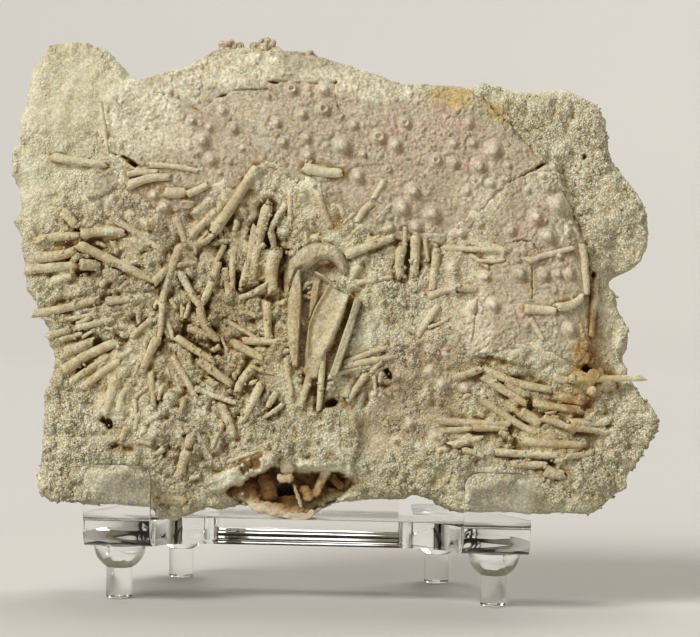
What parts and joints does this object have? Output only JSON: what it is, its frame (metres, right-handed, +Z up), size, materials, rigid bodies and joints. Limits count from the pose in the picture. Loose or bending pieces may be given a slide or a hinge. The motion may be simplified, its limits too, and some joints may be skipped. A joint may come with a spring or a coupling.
{
  "type": "fossil echinoderm",
  "caption": "Fossil sea urchin with scattered spines and jaws on a limestone slab, upright on a clear bent-sheet stand with round feet.",
  "frame": {"origin": "centre of the footprint, on the surface that the feet stand on", "axes": "+X along the slab's width, the fossil's face towards -Y, +Z up"},
  "size_m": [0.1588, 0.0654, 0.137],
  "materials": {
    "limestone": "matt, granular cream rock with pinkish test plates and pale yellow spines",
    "clear_acrylic": "polished clear sheet"
  },
  "bodies": {
    "root": {"fossil_slab": "limestone", "stand_base": "clear_acrylic", "foot_front_left": "clear_acrylic", "foot_front_right": "clear_acrylic", "foot_rear_left": "clear_acrylic", "foot_rear_right": "clear_acrylic"}
  },
  "joints": []
}
